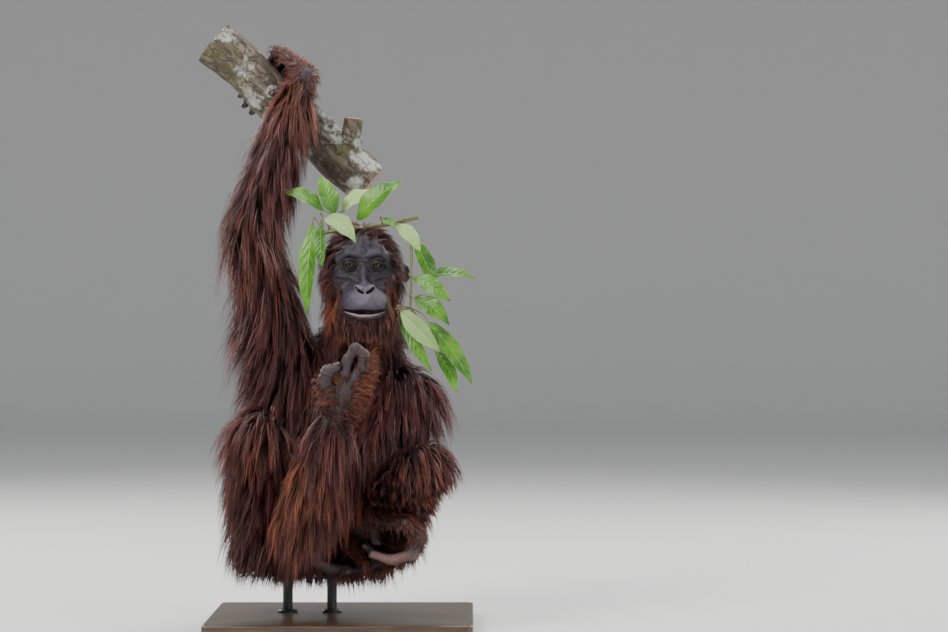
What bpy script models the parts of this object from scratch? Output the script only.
"""A life-size museum model of a hanging orangutan.

It grips a short cut length of branch with its raised right hand, holds its left hand under its chin,
draws its legs up in front of its belly and wears a leafy twig on its head. A flat base with two short
rods under the seat holds it up.

X runs across, Y runs back from the viewer, Z runs up, all in metres. The origin is the centre of the
base's underside. Right and left are the animal's own.
"""

import math
from itertools import product

import bmesh
import bpy
import numpy as np
from mathutils import Vector
from mathutils.bvhtree import BVHTree

# Driving dimensions
GAP = 0.0003
FRONT = (0.0, -1.0, 0.0)
UP = (0.0, 0.0, 1.0)
SIDE = (1.0, 0.0, 0.0)

BASE_WIDTH = 0.52
BASE_DEPTH = 0.46
BASE_HEIGHT = 0.024
ROD_RADIUS = 0.010
ROD_SPOTS = ((-0.110, 0.030), (-0.022, 0.030))

HEAD_CENTRE = np.array((0.048, -0.095, 0.690))
EYE_SPACING = 0.0520
EYE_RADIUS = 0.0112
EYE_FORWARD = 0.0668
EYE_UP = 0.0225
LID_THICK = 0.0023
LID_HALF_WIDTH = 0.0088
LID_HALF_HEIGHT = 0.0040
MOUTH_UP = -0.0640
MOUTH_HALF_WIDTH = 0.044

R_SHOULDER = (-0.098, 0.010, 0.500)
R_ELBOW = (-0.176, -0.075, 0.786)
R_WRIST = (-0.074, -0.012, 1.090)
L_SHOULDER = (0.134, -0.030, 0.450)
L_ELBOW = (-0.066, -0.228, 0.236)
L_WRIST = (0.012, -0.348, 0.452)
R_HIP = (-0.127, -0.030, 0.187)
R_KNEE = (-0.156, -0.190, 0.392)
R_ANKLE = (0.005, -0.100, 0.236)
L_HIP = (0.020, -0.030, 0.180)
L_KNEE = (0.172, -0.205, 0.326)
L_ANKLE = (0.112, -0.075, 0.160)

BRANCH_RADIUS = 0.046
BRANCH_BACK = 0.078
BRANCH_START = (-0.262, BRANCH_BACK, 1.164)
BRANCH_END = (0.052, BRANCH_BACK, 0.879)

SEED = 15

placed = []


def through(rows, count):
    """Rows of numbers along a smooth curve through the given rows, whose first three numbers are a place."""
    rows = np.asarray(rows, float)
    steps = np.linalg.norm(np.diff(rows[:, :3], axis=0), axis=1)
    at = np.concatenate([[0.0], np.cumsum(steps)])
    slope = np.gradient(rows, at, axis=0)
    t = np.linspace(0.0, at[-1], count)
    i = np.clip(np.searchsorted(at, t, side="right") - 1, 0, len(at) - 2)
    h = (at[i + 1] - at[i])[:, None]
    u = (t - at[i])[:, None] / h
    start = (2 * u**3 - 3 * u**2 + 1) * rows[i] + (u**3 - 2 * u**2 + u) * h * slope[i]
    end = (3 * u**2 - 2 * u**3) * rows[i + 1] + (u**3 - u**2) * h * slope[i + 1]
    return start + end


def unit(vectors):
    vectors = np.asarray(vectors, float)
    return vectors / np.linalg.norm(vectors, axis=-1, keepdims=True)


def solid(name, points, faces, finish):
    """One mesh object in triangles, whose faces point out."""
    mesh = bpy.data.meshes.new(name)
    mesh.from_pydata([tuple(p) for p in points], [], faces)
    obj = bpy.data.objects.new(name, mesh)
    bpy.context.scene.collection.objects.link(obj)
    bm = bmesh.new()
    bm.from_mesh(mesh)
    bmesh.ops.triangulate(bm, faces=bm.faces)
    bmesh.ops.recalc_face_normals(bm, faces=bm.faces)
    bm.to_mesh(mesh)
    bm.free()
    if finish:
        colour, roughness = finish
        paint = bpy.data.materials.new(name)
        paint.use_nodes = True
        surface = paint.node_tree.nodes["Principled BSDF"]
        surface.inputs["Base Color"].default_value = (*colour, 1.0)
        surface.inputs["Roughness"].default_value = roughness
        mesh.materials.append(paint)
    return obj


def skin_of_rings(rings, start, end):
    """Points and faces of a closed surface: rings of equal count, closed at each end on one point."""
    count, sides = rings.shape[:2]
    points = np.concatenate([rings.reshape(-1, 3), [start], [end]])
    faces = []
    for i in range(count - 1):
        for j in range(sides):
            k = (j + 1) % sides
            faces.append((i * sides + j, i * sides + k, (i + 1) * sides + k, (i + 1) * sides + j))
    last = (count - 1) * sides
    for j in range(sides):
        k = (j + 1) % sides
        faces.append((count * sides, k, j))
        faces.append((count * sides + 1, last + j, last + k))
    return points, faces


def tube(name, rows, rings, sides, facing, finish=None, blunt=(1.0, 1.0), dome=(32, 62)):
    """A closed tube of oval sections. Each row holds a centre, a half width and a half depth, and the
    depth is measured along `facing`. Each end is a dome, as long as `blunt` times its mean radius, with
    a ring at each angle of `dome`."""
    line = through(rows, rings)
    centre, half = line[:, :3], line[:, 3:5]
    ahead = unit(np.gradient(centre, axis=0))
    deep = np.asarray(facing, float) - (ahead @ np.asarray(facing, float))[:, None] * ahead
    deep = unit(deep)
    wide = np.cross(ahead, deep)
    ends = [(0, -blunt[0]), (-1, blunt[1])]
    turned = np.linspace(0.0, 2 * math.pi, sides, endpoint=False)

    def ring(middle, w, d, k):
        return middle + w * np.cos(turned)[:, None] * wide[k] + d * np.sin(turned)[:, None] * deep[k]

    body = [ring(centre[k], *half[k], k) for k in range(rings)]
    poles = []
    for k, reach in ends:
        long = reach * half[k].mean()
        poles.append(centre[k] + ahead[k] * long)
        if reach:
            cap = [
                ring(centre[k] + ahead[k] * long * math.sin(a), *(half[k] * math.cos(a)), k)
                for a in map(math.radians, dome)
            ]
            body = cap[::-1] + body if k == 0 else body + cap
    return solid(name, *skin_of_rings(np.array(body), *poles), finish)


def applied(obj):
    """Replaces the object's mesh by what its modifiers make of it."""
    graph = bpy.context.evaluated_depsgraph_get()
    made = bpy.data.meshes.new_from_object(obj.evaluated_get(graph))
    obj.modifiers.clear()
    obj.data = made


def size_if_closed(mesh):
    """The volume inside a mesh, or nothing where an edge lacks one of its two faces."""
    bm = bmesh.new()
    bm.from_mesh(mesh)
    closed = all(len(edge.link_faces) == 2 for edge in bm.edges)
    volume = bm.calc_volume(signed=True)
    bm.free()
    return volume if closed else 0.0


def largest_surface(obj, merge):
    """Leaves only the largest closed surface of the mesh, in triangles."""
    bm = bmesh.new()
    bm.from_mesh(obj.data)
    if merge:
        bmesh.ops.remove_doubles(bm, verts=bm.verts, dist=merge)
        bmesh.ops.dissolve_degenerate(bm, edges=bm.edges, dist=merge)
    bmesh.ops.triangulate(bm, faces=bm.faces)
    bm.faces.ensure_lookup_table()
    left = set(bm.faces)
    groups = []
    while left:
        reach = [left.pop()]
        group = []
        while reach:
            face = reach.pop()
            group.append(face)
            for edge in face.edges:
                for other in edge.link_faces:
                    if other in left:
                        left.remove(other)
                        reach.append(other)
        groups.append(group)

    def volume(group):
        return abs(
            sum(f.verts[0].co.dot(f.verts[1].co.cross(f.verts[2].co)) for f in group)
        )

    groups.sort(key=volume)
    for group in groups[:-1]:
        bmesh.ops.delete(bm, geom=group, context="FACES")
    loose = [v for v in bm.verts if not v.link_faces]
    bmesh.ops.delete(bm, geom=loose, context="VERTS")
    bm.to_mesh(obj.data)
    bm.free()


def combine(obj, others, operation, first="EXACT", then="MANIFOLD"):
    """One Boolean of the object with closed meshes, which are then removed. The second solver is for
    where the first one's result isn't one closed surface of a likely size."""
    pieces = bpy.data.collections.new("pieces")
    for other in others:
        pieces.objects.link(other)
    before = obj.data
    least = size_if_closed(before) * (0.999 if operation == "UNION" else 0.25)
    for solver, merge in ((first, 0.000004), (first, 0.0), (then, 0.000004), (then, 0.0)):
        obj.data = before
        step = obj.modifiers.new("combine", "BOOLEAN")
        step.operation = operation
        step.operand_type = "COLLECTION"
        step.collection = pieces
        step.solver = solver
        applied(obj)
        largest_surface(obj, merge)
        if size_if_closed(obj.data) > least:
            break
    for other in others:
        bpy.data.objects.remove(other)
    bpy.data.collections.remove(pieces)
    return obj


def grown(obj, by):
    """A copy of the object whose surface stands further out."""
    copy = bpy.data.objects.new("grown", obj.data.copy())
    bpy.context.scene.collection.objects.link(copy)
    bm = bmesh.new()
    bm.from_mesh(copy.data)
    bm.normal_update()
    moves = [v.normal * by * min(v.calc_shell_factor(), 2.0) for v in bm.verts]
    for vertex, move in zip(bm.verts, moves):
        vertex.co += move
    bm.to_mesh(copy.data)
    bm.free()
    return copy


def tree(obj):
    bm = bmesh.new()
    bm.from_mesh(obj.data)
    found = BVHTree.FromBMesh(bm)
    bm.free()
    return found


def settle(obj):
    """Cuts the object clear of all that is already placed, and adds it to that."""
    mine = tree(obj)
    for other in placed:
        theirs = tree(other)
        for solvers in (("EXACT", "MANIFOLD"), ("MANIFOLD", "EXACT"), ("MANIFOLD", "EXACT")):
            if not mine.overlap(theirs):
                break
            combine(obj, [grown(other, GAP)], "DIFFERENCE", *solvers)
            mine = tree(obj)
    obj.data.shade_smooth()
    obj.data.set_sharp_from_angle(angle=math.radians(50))
    placed.append(obj)
    return obj


# Colours and roughness, linear
COAT = ((0.075, 0.022, 0.012), 0.75)
FACE_SKIN = ((0.035, 0.028, 0.032), 0.50)
HAND_SKIN = ((0.070, 0.050, 0.048), 0.60)
EYE_COLOUR = ((0.030, 0.014, 0.008), 0.10)
BARK = ((0.120, 0.110, 0.090), 0.90)
LEAF_TOP = ((0.110, 0.260, 0.030), 0.45)
LEAF_PALE = ((0.330, 0.420, 0.180), 0.55)
TWIG = ((0.180, 0.140, 0.060), 0.80)
STAND_WOOD = ((0.050, 0.038, 0.030), 0.45)
STAND_METAL = ((0.020, 0.020, 0.022), 0.40)


# The head. Its own axes are across, forward and up from the head's centre.
def ellipsoid(p, centre, radii):
    """Signed distance, nearly, from an ellipsoid."""
    radii = np.asarray(radii)
    far = np.linalg.norm((p - centre) / radii, axis=-1)
    steep = np.linalg.norm((p - centre) / radii**2, axis=-1)
    return far * (far - 1.0) / np.maximum(steep, 1e-6)


def capsule(p, start, end, radius):
    """Signed distance from a rod with round ends."""
    start, end = np.asarray(start), np.asarray(end)
    along = end - start
    t = np.clip((p - start) @ along / (along @ along), 0.0, 1.0)[..., None]
    return np.linalg.norm(p - start - t * along, axis=-1) - radius


def join(a, b, soft):
    """The union of two distances, blended over a width."""
    h = np.clip(0.5 + 0.5 * (b - a) / soft, 0.0, 1.0)
    return b + (a - b) * h - soft * h * (1.0 - h)


def carve(a, b, soft):
    """The first distance with the second taken away, blended over a width."""
    return -join(-a, b, soft)


def head_distance(p):
    """Signed distance from the head's skin, from a blend of its masses."""
    p = np.asarray(p, float)
    q = p.copy()
    q[..., 0] = np.abs(q[..., 0])
    d = ellipsoid(q, (0.0, -0.014, 0.019), (0.067, 0.085, 0.079))
    d = join(d, ellipsoid(q, (0.0, 0.032, -0.004), (0.060, 0.044, 0.066)), 0.020)
    d = join(d, capsule(q, (0.010, 0.074, 0.044), (0.030, 0.073, 0.048), 0.0085), 0.012)
    d = join(d, capsule(q, (0.030, 0.073, 0.048), (0.049, 0.055, 0.038), 0.0085), 0.012)
    d = join(d, ellipsoid(q, (0.045, 0.036, -0.014), (0.018, 0.032, 0.026)), 0.018)
    d = join(d, ellipsoid(q, (0.0, 0.076, -0.053), (0.049, 0.066, 0.039)), 0.022)
    d = join(d, ellipsoid(q, (0.0, 0.056, -0.090), (0.042, 0.058, 0.036)), 0.018)
    d = join(d, ellipsoid(q, (0.030, 0.018, -0.080), (0.032, 0.048, 0.036)), 0.024)
    d = join(d, capsule(q, (0.0, 0.066, 0.024), (0.0, 0.096, -0.016), 0.0040), 0.016)
    d = join(d, ellipsoid(q, (0.0085, 0.114, -0.0225), (0.0110, 0.0125, 0.0080)), 0.007)
    d = join(d, ellipsoid(q, (0.0, 0.119, -0.0285), (0.0060, 0.0085, 0.0065)), 0.005)
    d = carve(d, ellipsoid(q, (EYE_SPACING / 2, 0.094, EYE_UP - 0.001), (0.0175, 0.0230, 0.0130)), 0.012)
    return d


def head_forward(across, up):
    """How far forward the skin lies at a place across and up, found by halving."""
    across, up = np.broadcast_arrays(np.asarray(across, float), np.asarray(up, float))
    near, far = np.full(across.shape, 0.02), np.full(across.shape, 0.20)
    for _ in range(30):
        middle = (near + far) / 2
        inside = head_distance(np.stack([across, middle, up], axis=-1)) < 0
        near, far = np.where(inside, middle, near), np.where(inside, far, middle)
    return near


def head_world(p):
    p = np.asarray(p, float)
    return HEAD_CENTRE + np.stack([p[..., 0], -p[..., 1], p[..., 2]], axis=-1)


RAY_CENTRE = np.array((0.0, 0.015, -0.010))


def hair_depth(p):
    """Depth of the head's close hair at a place: none on the face, full over the crown and nape."""
    oval = np.hypot(p[..., 0] / 0.068, (p[..., 2] + 0.020) / 0.085)
    off_face = np.clip((oval - 0.80) / 0.35, 0.0, 1.0)
    behind = np.clip((0.055 - p[..., 1]) / 0.05, 0.0, 1.0)
    return np.maximum(off_face * np.clip((0.09 - p[..., 1]) / 0.05, 0.0, 1.0), behind)


def head_shell(hair):
    """The head as rings about its forward axis, close on the face and wide behind."""
    close = np.radians(np.linspace(4.0, 60.0, 12))
    wide = np.radians(np.linspace(76.0, 162.0, 5))
    polar = np.concatenate([close, wide])[:, None]
    turn = np.linspace(0.0, 2 * math.pi, 32, endpoint=False)[None, :]
    ways = np.stack(
        [np.sin(polar) * np.cos(turn), np.cos(polar) + 0 * turn, np.sin(polar) * np.sin(turn)], axis=-1
    )
    poles = np.array([(0.0, 1.0, 0.0), (0.0, -1.0, 0.0)])

    def reach(ways):
        near, far = np.full(ways.shape[:-1], 0.01), np.full(ways.shape[:-1], 0.24)
        for _ in range(30):
            middle = (near + far) / 2
            inside = head_distance(RAY_CENTRE + ways * middle[..., None]) < 0
            near, far = np.where(inside, middle, near), np.where(inside, far, middle)
        skin = RAY_CENTRE + ways * near[..., None]
        return skin + ways * (hair * hair_depth(skin))[..., None]

    rings, ends = reach(ways), reach(poles)
    points, faces = skin_of_rings(head_world(rings), *head_world(ends))
    return solid("head", points, faces, FACE_SKIN)


def globe(name, centre, radius, rings, sides, finish):
    """A ball whose poles face forward and back."""
    polar = np.radians(np.linspace(28, 152, rings))[:, None]
    turn = np.linspace(0, 2 * math.pi, sides, endpoint=False)[None, :]
    ways = np.stack(
        [np.sin(polar) * np.cos(turn), -np.cos(polar) + 0 * turn, np.sin(polar) * np.sin(turn)], axis=-1
    )
    ends = centre + radius * np.array([(0, -1, 0), (0, 1, 0)])
    return solid(name, *skin_of_rings(centre + radius * ways, *ends), finish)


def eye_centre(side):
    return head_world((side * EYE_SPACING / 2, EYE_FORWARD, EYE_UP))


def lid_opening(side):
    """A cutter of the opening between the lids: an oval drawn out toward both corners."""
    centre = eye_centre(side)
    turn = np.linspace(0.0, 2 * math.pi, 10, endpoint=False)
    across = LID_HALF_WIDTH * np.cos(turn)
    up = LID_HALF_HEIGHT * np.sin(turn) * (1.0 - 0.35 * np.cos(turn) ** 2) - 0.0006
    rings = np.stack([centre + np.stack([across, 0 * turn - far, up], axis=-1) for far in (0.004, 0.020)])
    ends = (centre + np.array((0.0, -0.004, 0.0)), centre + np.array((0.0, -0.020, 0.0)))
    return solid("opening", *skin_of_rings(rings, *ends), None)


def mouth_rows(middle_up, corner_up, back, half_height, half_depth, stations=9):
    """Oval sections along the mouth, bowed between its middle and its corners."""
    across = np.linspace(-1.0, 1.0, stations) * MOUTH_HALF_WIDTH
    bow = (across / MOUTH_HALF_WIDTH) ** 2
    up = MOUTH_UP + middle_up + (corner_up - middle_up) * bow
    forward = head_forward(across, up) - back
    places = head_world(np.stack([across, forward, up], axis=-1))
    thin = 1.0 - 0.70 * bow
    return np.column_stack([places, half_height * thin, half_depth * thin])


def head():
    """The head with its lids, lips, open mouth line and nostrils. The close hair's core is in it."""
    skull = head_shell(hair=0.008)
    lower_lip = tube("lip", mouth_rows(-0.0135, 0.0, 0.0035, 0.0060, 0.0062), 9, 6, FRONT, None, (1, 1), (45,))
    upper_lip = tube("lip", mouth_rows(0.0075, 0.003, 0.0052, 0.0062, 0.0062), 8, 5, FRONT, None, (1, 1), (45,))
    lids = [globe("lid", eye_centre(side), EYE_RADIUS + LID_THICK, 5, 10, None) for side in (-1, 1)]
    combine(skull, [lower_lip, upper_lip, *lids], "UNION")
    cuts = [
        tube("mouth", mouth_rows(-0.0045, 0.0005, 0.002, 0.0042, 0.0090), 9, 6, FRONT, None, (1, 1), (45,)),
        lid_opening(-1),
        lid_opening(1),
    ]
    for side in (-1, 1):
        inner = np.array((side * 0.0036, 0.0, -0.0318))
        outer = np.array((side * 0.0135, 0.0, -0.0225))
        rows = []
        for share, size in ((0.0, 0.0020), (0.5, 0.0034), (1.0, 0.0022)):
            spot = inner + (outer - inner) * share
            spot[1] = head_forward(spot[0], spot[2]) - 0.002
            rows.append((*head_world(spot), size, 0.0075))
        cuts.append(tube("nostril", rows, 4, 6, FRONT, None, (1, 1), (45,)))
    combine(skull, cuts, "DIFFERENCE")
    return settle(skull)


def eye(name, side):
    return settle(globe(name, eye_centre(side), EYE_RADIUS, 6, 11, EYE_COLOUR))


def ear(name, side):
    """A small round ear: a bowl with a rolled rim, open to the side and a little forward."""
    profile = (
        (0.45, -0.0010), (0.84, 0.0042), (1.00, 0.0056), (1.05, 0.0020), (0.72, -0.0060),
    )
    turn = np.linspace(0.0, 2 * math.pi, 12, endpoint=False)
    out = unit((side * 0.90, -0.42, 0.05))
    top = unit(np.asarray(UP) - out * out[2])
    fore = np.cross(top, out)
    centre = head_world((side * 0.0765, -0.006, 0.006))
    rings = []
    for wide, far in profile:
        shape = 1.0 + 0.10 * np.cos(turn - 0.8)
        spot = centre + out * far
        rings.append(
            spot
            + (wide * shape * 0.0115 * np.cos(turn))[:, None] * fore
            + (wide * shape * 0.0180 * np.sin(turn))[:, None] * top
        )
    ends = (centre + out * -0.0020, centre + out * -0.0115)
    return settle(solid(name, *skin_of_rings(np.array(rings), *ends), FACE_SKIN))


# The trunk of the body, from the seat up: centre, half width, half depth
TRUNK = (
    (-0.064, 0.046, 0.118, 0.072, 0.066),
    (-0.060, 0.044, 0.180, 0.112, 0.090),
    (-0.038, 0.038, 0.255, 0.128, 0.100),
    (-0.014, 0.034, 0.318, 0.136, 0.106),
    (0.006, 0.036, 0.385, 0.138, 0.106),
    (0.020, 0.036, 0.446, 0.138, 0.102),
    (0.030, 0.030, 0.500, 0.116, 0.088),
    (0.036, 0.014, 0.540, 0.078, 0.070),
)


TRUNK_CUTS = (0.232, 0.372)


def slice_of(whole, name, low, high):
    """The part of a closed mesh between two heights, with flat cut faces."""
    part = bpy.data.objects.new(name, whole.data.copy())
    bpy.context.scene.collection.objects.link(part)
    bm = bmesh.new()
    bm.from_mesh(part.data)
    for height, way in ((low, -1.0), (high, 1.0)):
        if height is None:
            continue
        geometry = bm.verts[:] + bm.edges[:] + bm.faces[:]
        bmesh.ops.bisect_plane(
            bm, geom=geometry, plane_co=(0.0, 0.0, height), plane_no=(0.0, 0.0, way), clear_outer=True
        )
        rim = [edge for edge in bm.edges if len(edge.link_faces) == 1]
        bmesh.ops.edgeloop_fill(bm, edges=rim)
    bmesh.ops.triangulate(bm, faces=bm.faces)
    bmesh.ops.recalc_face_normals(bm, faces=bm.faces)
    bm.to_mesh(part.data)
    bm.free()
    return part


def trunk():
    """The seat, belly and chest: one tube, parted by two thin flat cuts. The whole tube is returned,
    for the limbs to be cut clear of, and is left out of the model."""
    whole = tube("trunk", TRUNK, 14, 20, FRONT, COAT, (0.30, 0.6), (42,))
    low, high = TRUNK_CUTS
    parts = (
        slice_of(whole, "pelvis", None, low - GAP / 2),
        slice_of(whole, "belly", low + GAP / 2, high - GAP / 2),
        slice_of(whole, "chest", high + GAP / 2, None),
    )
    for part in parts:
        for other in placed:
            if tree(part).overlap(tree(other)):
                combine(part, [grown(other, GAP)], "DIFFERENCE")
        part.data.shade_smooth()
        part.data.set_sharp_from_angle(angle=math.radians(50))
    whole.hide_render = True
    whole.display_type = "WIRE"
    placed.append(whole)
    return whole


def limb(name, start, end, rows, facing):
    """A limb's length: rows of share along it, half width and half depth."""
    start, end = np.asarray(start), np.asarray(end)
    places = [(*(start + (end - start) * share), wide, deep) for share, wide, deep in rows]
    settle(tube(name, places, 5, 10, facing, COAT, (1.0, 1.0), (45,)))


def neck():
    settle(
        tube(
            "neck",
            (
                (0.036, 0.010, 0.530, 0.072, 0.064),
                (0.040, -0.014, 0.580, 0.064, 0.062),
                (0.045, -0.048, 0.640, 0.058, 0.058),
            ),
            4, 14, FRONT, COAT, (1.0, 0.6), (42,),
        )
    )


def arms():
    limb(
        "right_upper_arm", R_SHOULDER, R_ELBOW,
        ((0.0, 0.058, 0.056), (0.35, 0.049, 0.048), (0.75, 0.043, 0.042), (1.0, 0.041, 0.040)), FRONT,
    )
    limb(
        "right_forearm", R_ELBOW, R_WRIST,
        ((0.0, 0.042, 0.040), (0.3, 0.045, 0.040), (0.7, 0.038, 0.032), (0.93, 0.029, 0.025)), FRONT,
    )
    limb(
        "left_upper_arm", L_SHOULDER, L_ELBOW,
        ((0.0, 0.058, 0.058), (0.35, 0.048, 0.048), (0.75, 0.041, 0.041), (1.0, 0.039, 0.039)), UP,
    )
    limb(
        "left_forearm", L_ELBOW, L_WRIST,
        ((0.0, 0.039, 0.039), (0.3, 0.042, 0.040), (0.7, 0.034, 0.033), (0.94, 0.027, 0.025)), SIDE,
    )


def legs():
    limb(
        "right_thigh", R_HIP, R_KNEE,
        ((0.0, 0.074, 0.072), (0.4, 0.063, 0.063), (0.8, 0.051, 0.051), (1.0, 0.046, 0.046)), SIDE,
    )
    limb(
        "right_shin", R_KNEE, R_ANKLE,
        ((0.0, 0.042, 0.040), (0.3, 0.041, 0.038), (0.7, 0.033, 0.030), (0.96, 0.026, 0.023)), FRONT,
    )
    limb(
        "left_thigh", L_HIP, L_KNEE,
        ((0.0, 0.074, 0.072), (0.4, 0.063, 0.063), (0.8, 0.051, 0.051), (1.0, 0.046, 0.046)), UP,
    )
    limb(
        "left_shin", L_KNEE, L_ANKLE,
        ((0.0, 0.042, 0.040), (0.3, 0.041, 0.038), (0.7, 0.033, 0.030), (0.96, 0.026, 0.023)), SIDE,
    )


def digit(name, places, radii):
    """One finger or toe: round sections through places, each with its radius."""
    rows = [(*place, radius, radius) for place, radius in zip(places, radii)]
    ways = np.diff(np.asarray(places), axis=0)
    across = np.cross(ways[0], ways[-1])
    if np.linalg.norm(across) < 1e-6:
        across = np.cross(ways[0], UP)
    return tube(name, rows, 5, 5, unit(across), None, (0.0, 1.0), (45,))


def right_hand():
    """The hand hooks over the branch. Its places are set in the branch's own axes: along it, out from
    it on its upper side, and back behind it, with the fingers bent round it by an angle."""
    along = unit(np.subtract(BRANCH_END, BRANCH_START))
    out = np.array((-along[2], 0.0, along[0]))
    back = np.array((0.0, 1.0, 0.0))
    middle = np.array((-0.078, BRANCH_BACK, 0.997))

    def spot(run, far, angle):
        a = math.radians(angle)
        return middle + along * run + far * (math.cos(a) * out + math.sin(a) * back)

    wrist = np.asarray(R_WRIST)
    knuckles = spot(-0.112, 0.076, -12)
    palm = tube(
        "right_hand",
        (
            (*(wrist - (knuckles - wrist) * 0.10), 0.027, 0.020),
            (*(wrist + (knuckles - wrist) * 0.35), 0.034, 0.017),
            (*(wrist + (knuckles - wrist) * 0.90), 0.040, 0.013),
        ),
        3, 9, out, HAND_SKIN, (0.8, 0.6), (42,),
    )
    digits = []
    for k, long in enumerate((0.90, 1.0, 1.0, 0.86)):
        run = -0.112 + (k - 1.5) * 0.0205
        bends = (-14, 28 * long, 72 * long, 112 * long, 146 * long)
        fars = (0.074, 0.066, 0.0595, 0.0588, 0.0586)
        places = [spot(run, far, bend) for far, bend in zip(fars, bends)]
        digits.append(digit("finger", places, (0.0118, 0.0112, 0.0108, 0.0102, 0.0086)))
    thumb = [spot(-0.052, 0.082, -52), spot(-0.072, 0.072, -68), spot(-0.086, 0.0585, -86)]
    digits.append(digit("thumb", thumb, (0.0125, 0.0105, 0.0085)))
    combine(palm, digits, "UNION")
    return settle(palm)


def left_hand():
    """The hand is held up under the chin, its fingers bent over toward the thumb."""
    wrist = np.asarray(L_WRIST)
    knuckles = np.array((0.054, -0.350, 0.526))
    palm = tube(
        "left_hand",
        (
            (*(wrist - (knuckles - wrist) * 0.10), 0.026, 0.022),
            (*(wrist + (knuckles - wrist) * 0.45), 0.035, 0.019),
            (*(wrist + (knuckles - wrist) * 0.92), 0.040, 0.014),
        ),
        3, 9, SIDE, HAND_SKIN, (0.8, 0.6), (42,),
    )
    digits = []
    for k in range(4):
        lie = np.array((0.001, 0.0200, -0.002)) * (k - 1.5)
        base = knuckles + lie
        curl = 1.0 + 0.06 * k
        places = (
            base,
            base + np.array((-0.006, -0.004, 0.022)),
            base + np.array((-0.026, -0.007, 0.022)) * curl,
            base + np.array((-0.040, -0.008, -0.008)) * curl,
            base + np.array((-0.038, -0.008, -0.034)),
        )
        digits.append(digit("finger", places, (0.0120, 0.0116, 0.0108, 0.0100, 0.0084)))
    thumb = (
        wrist + np.array((-0.016, -0.014, 0.014)),
        wrist + np.array((-0.036, -0.024, 0.038)),
        wrist + np.array((-0.030, -0.028, 0.058)),
        wrist + np.array((-0.008, -0.030, 0.066)),
    )
    digits.append(digit("thumb", thumb, (0.0130, 0.0112, 0.0100, 0.0084)))
    combine(palm, digits, "UNION")
    return settle(palm)


def right_foot():
    """The foot crosses in front and its toes curl back under it."""
    ankle = np.asarray(R_ANKLE)
    ball = np.array((0.138, -0.190, 0.214))
    sole = tube(
        "right_foot",
        (
            (*(ankle + np.array((-0.030, 0.004, -0.012))), 0.026, 0.024),
            (*ankle, 0.030, 0.026),
            (*(ankle + (ball - ankle) * 0.45), 0.036, 0.021),
            (*(ankle + (ball - ankle) * 0.95), 0.042, 0.015),
        ),
        4, 9, UP, HAND_SKIN, (0.8, 0.6), (42,),
    )
    digits = []
    for k in range(4):
        base = ball + np.array((0.002, 0.0195, -0.002)) * (k - 1.5)
        places = (
            base + np.array((-0.004, 0.0, 0.0)),
            base + np.array((0.018, -0.004, -0.026)),
            base + np.array((0.004, -0.006, -0.058)),
            base + np.array((-0.034, -0.004, -0.068)),
            base + np.array((-0.066, 0.0, -0.058)),
        )
        digits.append(digit("toe", places, (0.0122, 0.0116, 0.0110, 0.0102, 0.0086)))
    big = (
        ankle + np.array((0.040, -0.040, -0.010)),
        ankle + np.array((0.064, -0.058, -0.034)),
        ankle + np.array((0.066, -0.060, -0.056)),
    )
    digits.append(digit("toe", big, (0.0140, 0.0120, 0.0095)))
    combine(sole, digits, "UNION")
    return settle(sole)


def left_foot():
    """The foot lies lower and further back, and its toes curl up toward the right."""
    ankle = np.asarray(L_ANKLE)
    ball = np.array((0.018, -0.112, 0.118))
    sole = tube(
        "left_foot",
        (
            (*(ankle + np.array((0.026, 0.012, -0.012))), 0.024, 0.024),
            (*ankle, 0.028, 0.026),
            (*(ankle + (ball - ankle) * 0.50), 0.033, 0.021),
            (*(ankle + (ball - ankle) * 0.95), 0.038, 0.015),
        ),
        4, 9, UP, HAND_SKIN, (0.8, 0.6), (42,),
    )
    digits = []
    for k in range(4):
        base = ball + np.array((0.004, 0.0190, -0.002)) * (k - 1.5)
        places = (
            base + np.array((0.004, 0.0, 0.0)),
            base + np.array((-0.026, -0.010, 0.004)),
            base + np.array((-0.052, -0.020, 0.018)),
            base + np.array((-0.058, -0.030, 0.044)),
            base + np.array((-0.038, -0.036, 0.060)),
        )
        digits.append(digit("toe", places, (0.0122, 0.0114, 0.0108, 0.0100, 0.0084)))
    big = (
        ankle + np.array((-0.024, -0.030, -0.014)),
        ankle + np.array((-0.044, -0.052, -0.006)),
        ankle + np.array((-0.060, -0.062, 0.010)),
    )
    digits.append(digit("toe", big, (0.0140, 0.0120, 0.0095)))
    combine(sole, digits, "UNION")
    return settle(sole)


def branch():
    start, end = np.array(BRANCH_START), np.array(BRANCH_END)
    rows = []
    for share, wave, size in (
        (0.0, 0.000, 1.04), (0.2, 0.003, 0.98), (0.4, -0.002, 1.02), (0.6, 0.002, 0.97),
        (0.8, -0.003, 1.00), (1.0, 0.0, 1.03),
    ):
        place = start + (end - start) * share + np.array((wave, 0.0, wave))
        rows.append((*place, BRANCH_RADIUS * size, BRANCH_RADIUS * size * 0.97))
    whole = tube("perch_branch", rows, 9, 16, FRONT, BARK, (0.0, 0.0))
    foot = start + (end - start) * 0.86
    stub = [
        (*(foot + np.array((0.0, -0.010, 0.000))), 0.026, 0.026),
        (*(foot + np.array((0.008, -0.018, 0.060))), 0.022, 0.022),
        (*(foot + np.array((0.012, -0.022, 0.092))), 0.019, 0.019),
    ]
    combine(whole, [tube("stub", stub, 4, 9, FRONT, None, (0.5, 0.0), (45,))], "UNION")
    return settle(whole)


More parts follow.
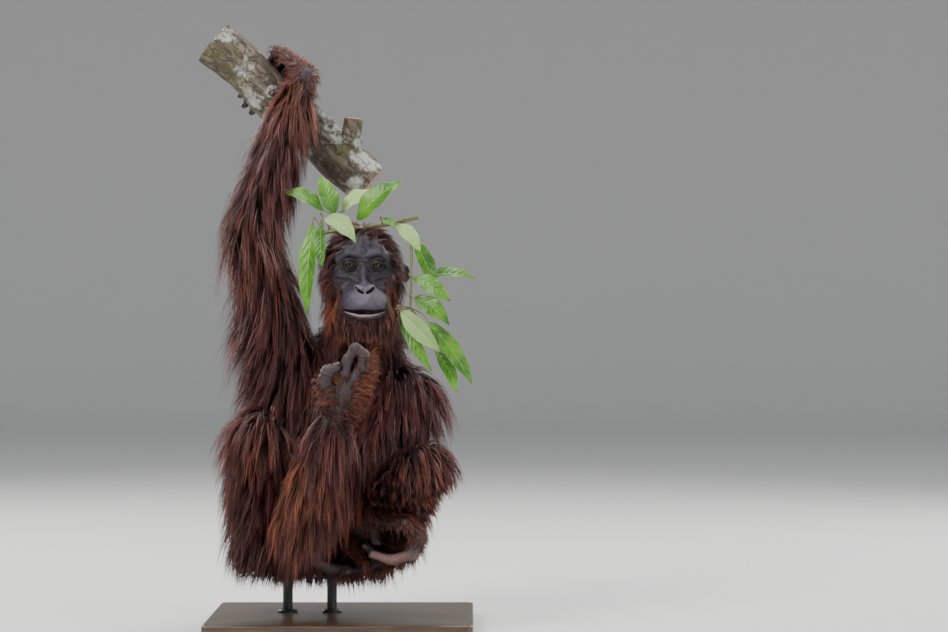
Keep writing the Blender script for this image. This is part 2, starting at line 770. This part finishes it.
# The worn twig and its leaves
TWIG_LINE = (
    (-0.030, -0.104, 0.776, 0.0034, 0.0034),
    (0.010, -0.112, 0.784, 0.0038, 0.0038),
    (0.048, -0.116, 0.786, 0.0042, 0.0042),
    (0.100, -0.114, 0.794, 0.0046, 0.0046),
    (0.152, -0.106, 0.807, 0.0048, 0.0048),
)
SPRAY_LINE = (
    (0.118, -0.112, 0.798, 0.0030, 0.0030),
    (0.136, -0.128, 0.766, 0.0028, 0.0028),
    (0.140, -0.136, 0.700, 0.0025, 0.0025),
    (0.138, -0.146, 0.630, 0.0022, 0.0022),
)

# Each leaf: its base, its tip, half width, sag of its middle, the side its upper face looks to, finish
LEAVES = (
    ("leaf_01", (0.036, -0.140, 0.800), (0.122, -0.150, 0.876), 0.024, 0.012, (-0.35, -0.80, 0.45), LEAF_TOP),
    ("leaf_02", (0.004, -0.100, 0.818), (0.074, -0.070, 0.858), 0.022, 0.010, (-0.40, -0.60, 0.60), LEAF_PALE),
    ("leaf_03", (-0.010, -0.120, 0.812), (-0.038, -0.112, 0.886), 0.018, 0.008, (0.20, -1.00, 0.10), LEAF_TOP),
    ("leaf_04", (-0.032, -0.106, 0.820), (-0.114, -0.090, 0.860), 0.018, 0.010, (0.30, -0.70, 0.60), LEAF_TOP),
    ("leaf_05", (-0.026, -0.136, 0.806), (0.034, -0.186, 0.756), 0.020, 0.014, (0.10, -0.80, 0.60), LEAF_PALE),
    ("leaf_06", (-0.052, -0.112, 0.794), (-0.062, -0.132, 0.616), 0.018, 0.010, (-0.40, -0.90, 0.10), LEAF_TOP),
    ("leaf_07", (-0.036, -0.126, 0.790), (-0.032, -0.150, 0.706), 0.012, 0.006, (-0.30, -0.90, 0.10), LEAF_TOP),
    ("leaf_08", (0.086, -0.140, 0.802), (0.108, -0.168, 0.784), 0.010, 0.004, (0.10, -0.70, 0.70), LEAF_TOP),
    ("leaf_09", (0.112, -0.134, 0.792), (0.158, -0.166, 0.738), 0.016, 0.008, (0.40, -0.90, 0.20), LEAF_PALE),
    ("leaf_10", (0.146, -0.120, 0.760), (0.182, -0.128, 0.668), 0.017, 0.008, (0.50, -0.85, 0.10), LEAF_TOP),
    ("leaf_11", (0.164, -0.104, 0.690), (0.264, -0.104, 0.688), 0.016, 0.010, (0.10, -0.60, 0.80), LEAF_TOP),
    ("leaf_12", (0.146, -0.166, 0.690), (0.216, -0.184, 0.642), 0.017, 0.008, (0.20, -0.90, 0.40), LEAF_TOP),
    ("leaf_13", (0.146, -0.168, 0.650), (0.214, -0.196, 0.598), 0.019, 0.012, (0.20, -0.90, 0.40), LEAF_TOP),
    ("leaf_14", (0.122, -0.172, 0.624), (0.196, -0.196, 0.546), 0.018, 0.010, (-0.30, -0.90, 0.20), LEAF_PALE),
    ("leaf_15", (0.118, -0.152, 0.612), (0.180, -0.180, 0.508), 0.012, 0.006, (-0.30, -0.90, 0.20), LEAF_TOP),
    ("leaf_16", (0.174, -0.146, 0.602), (0.258, -0.160, 0.484), 0.018, 0.012, (0.30, -0.90, 0.20), LEAF_TOP),
    ("leaf_17", (0.186, -0.120, 0.556), (0.228, -0.152, 0.466), 0.014, 0.008, (0.40, -0.90, 0.10), LEAF_TOP),
)
LEAF_THICK = 0.0011
LEAF_ROWS = 6


def leaf(name, base, tip, half, sag, facing, finish):
    """One leaf: a thin folded blade that widens to its middle and runs out to a drawn tip. Both faces
    are split alike, so that they keep their distance."""
    base, tip, facing = (np.asarray(v, float) for v in (base, tip, facing))
    way = unit(tip - base)
    up = unit(facing - way * (facing @ way))
    across = np.cross(way, up)
    share = np.linspace(0.0, 1.0, LEAF_ROWS)
    line = base + (tip - base) * share[:, None] + up * (sag * np.sin(math.pi * share))[:, None]
    wide = half * (np.sin(math.pi * share**0.85) ** 0.8 * 0.96 + 0.04)
    wide[0], wide[-1] = 0.0024, 0.0014
    columns = np.array((-1.0, 0.0, 1.0))
    lift = 0.28 * np.abs(columns)
    grid = (
        line[:, None]
        + across * (wide[:, None] * columns)[..., None]
        + up * (wide[:, None] * lift)[..., None]
    )
    top, under = grid + up * LEAF_THICK / 2, grid - up * LEAF_THICK / 2
    points = np.concatenate([top.reshape(-1, 3), under.reshape(-1, 3)])
    count, many = LEAF_ROWS * 3, 3
    faces = []
    for i in range(LEAF_ROWS - 1):
        for j in range(many - 1):
            a, b, c, d = i * many + j, i * many + j + 1, (i + 1) * many + j + 1, (i + 1) * many + j
            split = ((a, b, c), (a, c, d)) if j == 0 else ((a, b, d), (b, c, d))
            faces += split
            faces += [tuple(count + v for v in reversed(face)) for face in split]
    edge = [j for j in range(many)]
    edge += [i * many + many - 1 for i in range(1, LEAF_ROWS)]
    edge += [(LEAF_ROWS - 1) * many + j for j in range(many - 2, -1, -1)]
    edge += [i * many for i in range(LEAF_ROWS - 2, 0, -1)]
    for k, a in enumerate(edge):
        b = edge[(k + 1) % len(edge)]
        faces += [(a, count + a, count + b), (a, count + b, b)]
    return solid(name, points, faces, finish)


def twig():
    """The twig, a side shoot down the left of the face, and a stalk to each leaf's base."""
    main = tube("hat_twig", TWIG_LINE, 6, 6, UP, TWIG, (0.0, 0.0))
    pieces = [tube("spray", SPRAY_LINE, 6, 5, FRONT, None, (0.0, 0.0))]
    line = np.concatenate([through(TWIG_LINE, 40), through(SPRAY_LINE, 40)])[:, :3]
    for _, base, tip, *_ in LEAVES:
        base, tip = np.asarray(base), np.asarray(tip)
        way = unit(tip - base)
        end = base - way * GAP * 2.0
        near = line[np.argmin(np.linalg.norm(line - base, axis=1))]
        bend = end - way * 0.4 * np.linalg.norm(end - near)
        rows = [(*near, 0.0018, 0.0018), (*bend, 0.0016, 0.0016), (*end, 0.0016, 0.0016)]
        facing = np.cross(unit(end - near), unit((0.3, 0.5, 0.8)))
        pieces.append(tube("stalk", rows, 3, 3, facing, None, (0.0, 0.0)))
    combine(main, pieces, "UNION")
    return settle(main)


# The long coat. Each lock is a flat, tapered blade, rooted in its node's core and bent along its lie.
LOCK_THICK = 0.0048
LOCK_SINK = 0.010
CLEAR = 0.0006
LONG_LOCK = 0.125
MOST_CROSSINGS = 1
DOWN = np.array((0.0, 0.0, -1.0))


def nearest(found, place):
    """The nearest surface point, its normal, and how far outside of it a place lies."""
    spot, normal, _, far = found.find_nearest(Vector(place))
    spot, normal = np.array(spot), np.array(normal)
    inside = (place - spot) @ normal < 0.0
    return spot, normal, -far if inside else far


def lock_points(own, others, root, normal, lie, size, lift):
    """The line of one lock from its sunk root to its tip, and its up directions, or nothing where it
    can't lie well. It rises slowly off its own core, bends toward the ground as it runs out and keeps
    clear of the other nodes' cores."""
    length, width, height = size
    segments = 4 if length > LONG_LOCK else 3
    step = length / segments
    places, ups = [root - normal * LOCK_SINK], [normal]
    place, up, way = root, normal, lie
    for k in range(1, segments + 1):
        share = k / segments
        way = unit(way - up * (way @ up))
        way = unit(way + DOWN * (0.25 + 0.75 * share))
        before = place
        place = place + way * step
        spot, out, far = nearest(own, place)
        rise = height * lift * (0.25 + 0.75 * share)
        if far < rise:
            place = place + out * (rise - far)
        if far < 2.0 * height:
            up = out
        spot, out, far = nearest(others, place)
        room = LOCK_THICK + CLEAR + 0.30 * width * (1.0 - share)
        if far < room:
            place = place + out * (room - far)
        made = unit(place - before)
        if made @ way < 0.45 or made @ lie < -0.3:
            return None
        way = made
        places.append(place)
        ups.append(up)
    return np.array(places), np.array(ups)


def lock_mesh(places, ups, size, thicker=0.0):
    """The blade round a lock's line: three-sided, flat below and ridged above, down to a point."""
    width = size[1]
    count = len(places)
    share = np.linspace(0.0, 1.0, count)
    ahead = unit(np.gradient(places, axis=0))
    up = unit(ups - ahead * np.sum(ahead * ups, axis=1, keepdims=True))
    across = np.cross(ahead, up)
    wide = width / 2 * np.interp(share, (0.0, 0.30, 0.65, 1.0), (0.62, 1.0, 0.78, 0.0)) + thicker
    deep = LOCK_THICK * np.interp(share, (0.0, 0.5, 1.0), (1.0, 0.9, 0.0)) + thicker
    rings = np.stack(
        [
            places + across * wide[:, None] - up * (deep * 0.35)[:, None],
            places + up * (deep * 0.65)[:, None],
            places - across * wide[:, None] - up * (deep * 0.35)[:, None],
        ],
        axis=1,
    )
    return rings[:-1], places[0] - ahead[0] * 0.002, places[-1] + ahead[-1] * thicker


def spread_roots(obj, spacing, keep, rng):
    """Places spread evenly over the object's surface, closer across the lie than along it."""
    mesh = obj.data
    mesh.calc_loop_triangles()
    corners = np.array([[mesh.vertices[v].co[:] for v in t.vertices] for t in mesh.loop_triangles])
    crosses = np.cross(corners[:, 1] - corners[:, 0], corners[:, 2] - corners[:, 0])
    areas = np.linalg.norm(crosses, axis=1)
    along, across = spacing
    chosen = []
    for pick in rng.choice(len(areas), 1500, p=areas / areas.sum()):
        a, b = rng.random(2)
        if a + b > 1.0:
            a, b = 1.0 - a, 1.0 - b
        place = corners[pick, 0] + a * (corners[pick, 1] - corners[pick, 0])
        place = place + b * (corners[pick, 2] - corners[pick, 0])
        normal = crosses[pick] / areas[pick]
        lie = keep(place, normal)
        if lie is None:
            continue
        lie = unit(lie - normal * (lie @ normal))
        side = np.cross(lie, normal)
        if all(
            ((place - other) @ lie / along) ** 2
            + ((place - other) @ side / across) ** 2
            + ((place - other) @ normal / across) ** 2
            > 1.0
            for other, *_ in chosen
        ):
            chosen.append((place, normal, lie))
    chosen.sort(key=lambda row: row[0][2])
    return chosen


def joined_tree(objects):
    """One search tree over several objects."""
    points, faces = [], []
    for obj in objects:
        first = len(points)
        points += [v.co.copy() for v in obj.data.vertices]
        faces += [tuple(first + v for v in face.vertices) for face in obj.data.polygons]
    return BVHTree.FromPolygons(points, faces)


def search_tree(rings):
    points, faces = skin_of_rings(*rings)
    return BVHTree.FromPolygons([tuple(p) for p in points], faces)


def comb(nodes, plan, rng):
    """Grows the locks of every coated node, each clear of the other nodes and of their locks."""
    grown_locks = {name: [] for name in nodes}
    blades = []
    for name, (size, spacing, keep) in plan.items():
        own_object = nodes[name]
        own = tree(own_object)
        others = joined_tree([obj for other, obj in nodes.items() if other != name])
        for root, normal, lie in spread_roots(own_object, spacing, keep, rng):
            scale = rng.uniform(0.85, 1.15)
            mine = (size[0] * scale, size[1] * rng.uniform(0.9, 1.1), size[2])
            start = Vector(root + normal * 0.002)
            if others.ray_cast(start, Vector(normal), 0.022)[0]:
                continue
            if others.find_nearest(Vector(root))[3] < 0.004:
                continue
            side = np.cross(normal, lie)
            best = None
            for lift, turn, long in product((1.0, 1.5, 0.6, 2.0), (0.0, 0.4, -0.4), (1.0, 0.7)):
                cut = (mine[0] * long, mine[1], mine[2])
                turned = unit(lie + side * (turn + rng.normal(0.0, 0.10)))
                made = lock_points(own, others, root, normal, turned, cut, lift)
                if made is None:
                    continue
                line, ups = made
                wide = search_tree(lock_mesh(line, ups, cut, CLEAR))
                if wide.overlap(others):
                    continue
                if any(wide.overlap(found) for owner, found, _ in blades if owner != name):
                    continue
                tip = search_tree(lock_mesh(line[1:], ups[1:], cut, CLEAR))
                crossed = sum(bool(tip.overlap(found)) for owner, _, found in blades if owner == name)
                if best is None or crossed < best[0]:
                    best = (crossed, wide, tip, lock_mesh(line, ups, cut))
                if crossed == 0:
                    break
            if best and best[0] <= MOST_CROSSINGS:
                blades.append((name, best[1], best[2]))
                grown_locks[name].append(best[3])
    for name, rings in grown_locks.items():
        if rings:
            locks = [solid("lock", *skin_of_rings(*ring), None) for ring in rings]
            combine(nodes[name], locks, "UNION")


def coat_plan():
    """For each coated node: its locks' length, width and height, how far apart they root along and
    across the lie, and the lie at a place, or nothing where no lock grows."""

    def hang(sideways=0.0, back=0.0):
        def lie(place, normal):
            way = np.array((sideways, back, -1.0)) + 0.15 * normal
            return way if abs(normal[2]) < 0.92 else None

        return lie

    def along(start, end, gravity=0.4):
        way = unit(np.subtract(end, start))

        def lie(place, normal):
            share = (place - start) @ way
            long = np.linalg.norm(np.subtract(end, start))
            return way + DOWN * gravity if -0.10 < share / long < 0.97 else None

        return lie

    def head_lie(place, normal):
        local = place - HEAD_CENTRE
        local[1] = -local[1]
        if hair_depth(local) < 0.75 or normal[2] > 0.985 or local[2] > 0.096:
            return None
        from_crown = local - np.array((0.0, -0.020, 0.100))
        return np.array((from_crown[0], -from_crown[1], from_crown[2])) + DOWN * 0.05

    return {
        "chest": ((0.108, 0.050, 0.026), (0.083, 0.052), hang(-0.10)),
        "belly": ((0.108, 0.050, 0.026), (0.087, 0.054), hang(-0.15)),
        "pelvis": ((0.088, 0.044, 0.022), (0.071, 0.050), hang(-0.10)),
        "neck": ((0.084, 0.040, 0.020), (0.069, 0.044), hang(0.0, 0.2)),
        "right_upper_arm": ((0.150, 0.044, 0.034), (0.079, 0.048), hang(-0.25)),
        "right_forearm": ((0.115, 0.038, 0.026), (0.077, 0.042), along(R_WRIST, R_ELBOW)),
        "left_upper_arm": ((0.120, 0.042, 0.026), (0.079, 0.047), along(L_SHOULDER, L_ELBOW)),
        "left_forearm": ((0.095, 0.036, 0.024), (0.071, 0.040), along(L_WRIST, L_ELBOW, 0.2)),
        "right_thigh": ((0.110, 0.045, 0.026), (0.085, 0.051), hang(-0.25)),
        "right_shin": ((0.075, 0.034, 0.018), (0.067, 0.040), along(R_KNEE, R_ANKLE)),
        "left_thigh": ((0.104, 0.043, 0.024), (0.083, 0.049), hang(0.0)),
        "left_shin": ((0.070, 0.034, 0.018), (0.067, 0.040), along(L_KNEE, L_ANKLE)),
        "head": ((0.076, 0.043, 0.014), (0.063, 0.046), head_lie),
    }


def stand():
    bpy.ops.mesh.primitive_cube_add(size=1.0, location=(0.0, 0.0, BASE_HEIGHT / 2))
    base = bpy.context.object
    base.name = "stand_base"
    base.dimensions = (BASE_WIDTH, BASE_DEPTH, BASE_HEIGHT)
    base.data.transform(base.matrix_basis)
    base.matrix_basis.identity()
    paint = bpy.data.materials.new("stand_base")
    paint.use_nodes = True
    paint.node_tree.nodes["Principled BSDF"].inputs["Base Color"].default_value = (*STAND_WOOD[0], 1.0)
    paint.node_tree.nodes["Principled BSDF"].inputs["Roughness"].default_value = STAND_WOOD[1]
    base.data.materials.append(paint)
    edge = base.modifiers.new("edge", "BEVEL")
    edge.width = 0.004
    edge.segments = 1
    applied(base)
    settle(base)
    for number, (x, y) in enumerate(ROD_SPOTS, 1):
        low, high = BASE_HEIGHT + GAP, 0.150
        rows = ((x, y, low, ROD_RADIUS, ROD_RADIUS), (x, y, high, ROD_RADIUS, ROD_RADIUS))
        settle(tube(f"stand_rod_{number}", rows, 2, 12, FRONT, STAND_METAL, (0.0, 0.0)))


def main():
    for obj in list(bpy.data.objects):
        bpy.data.objects.remove(obj)
    eye("right_eye", -1)
    eye("left_eye", 1)
    twig()
    head()
    ear("right_ear", -1)
    ear("left_ear", 1)
    guide = trunk()
    neck()
    branch()
    arms()
    right_hand()
    left_hand()
    legs()
    right_foot()
    left_foot()
    for row in LEAVES:
        settle(leaf(*row))
    stand()
    bpy.data.objects.remove(guide)
    nodes = {obj.name: obj for obj in bpy.context.scene.objects}
    comb(nodes, coat_plan(), np.random.default_rng(SEED))
    for obj in nodes.values():
        obj.data.shade_smooth()
        obj.data.set_sharp_from_angle(angle=math.radians(50))


main()
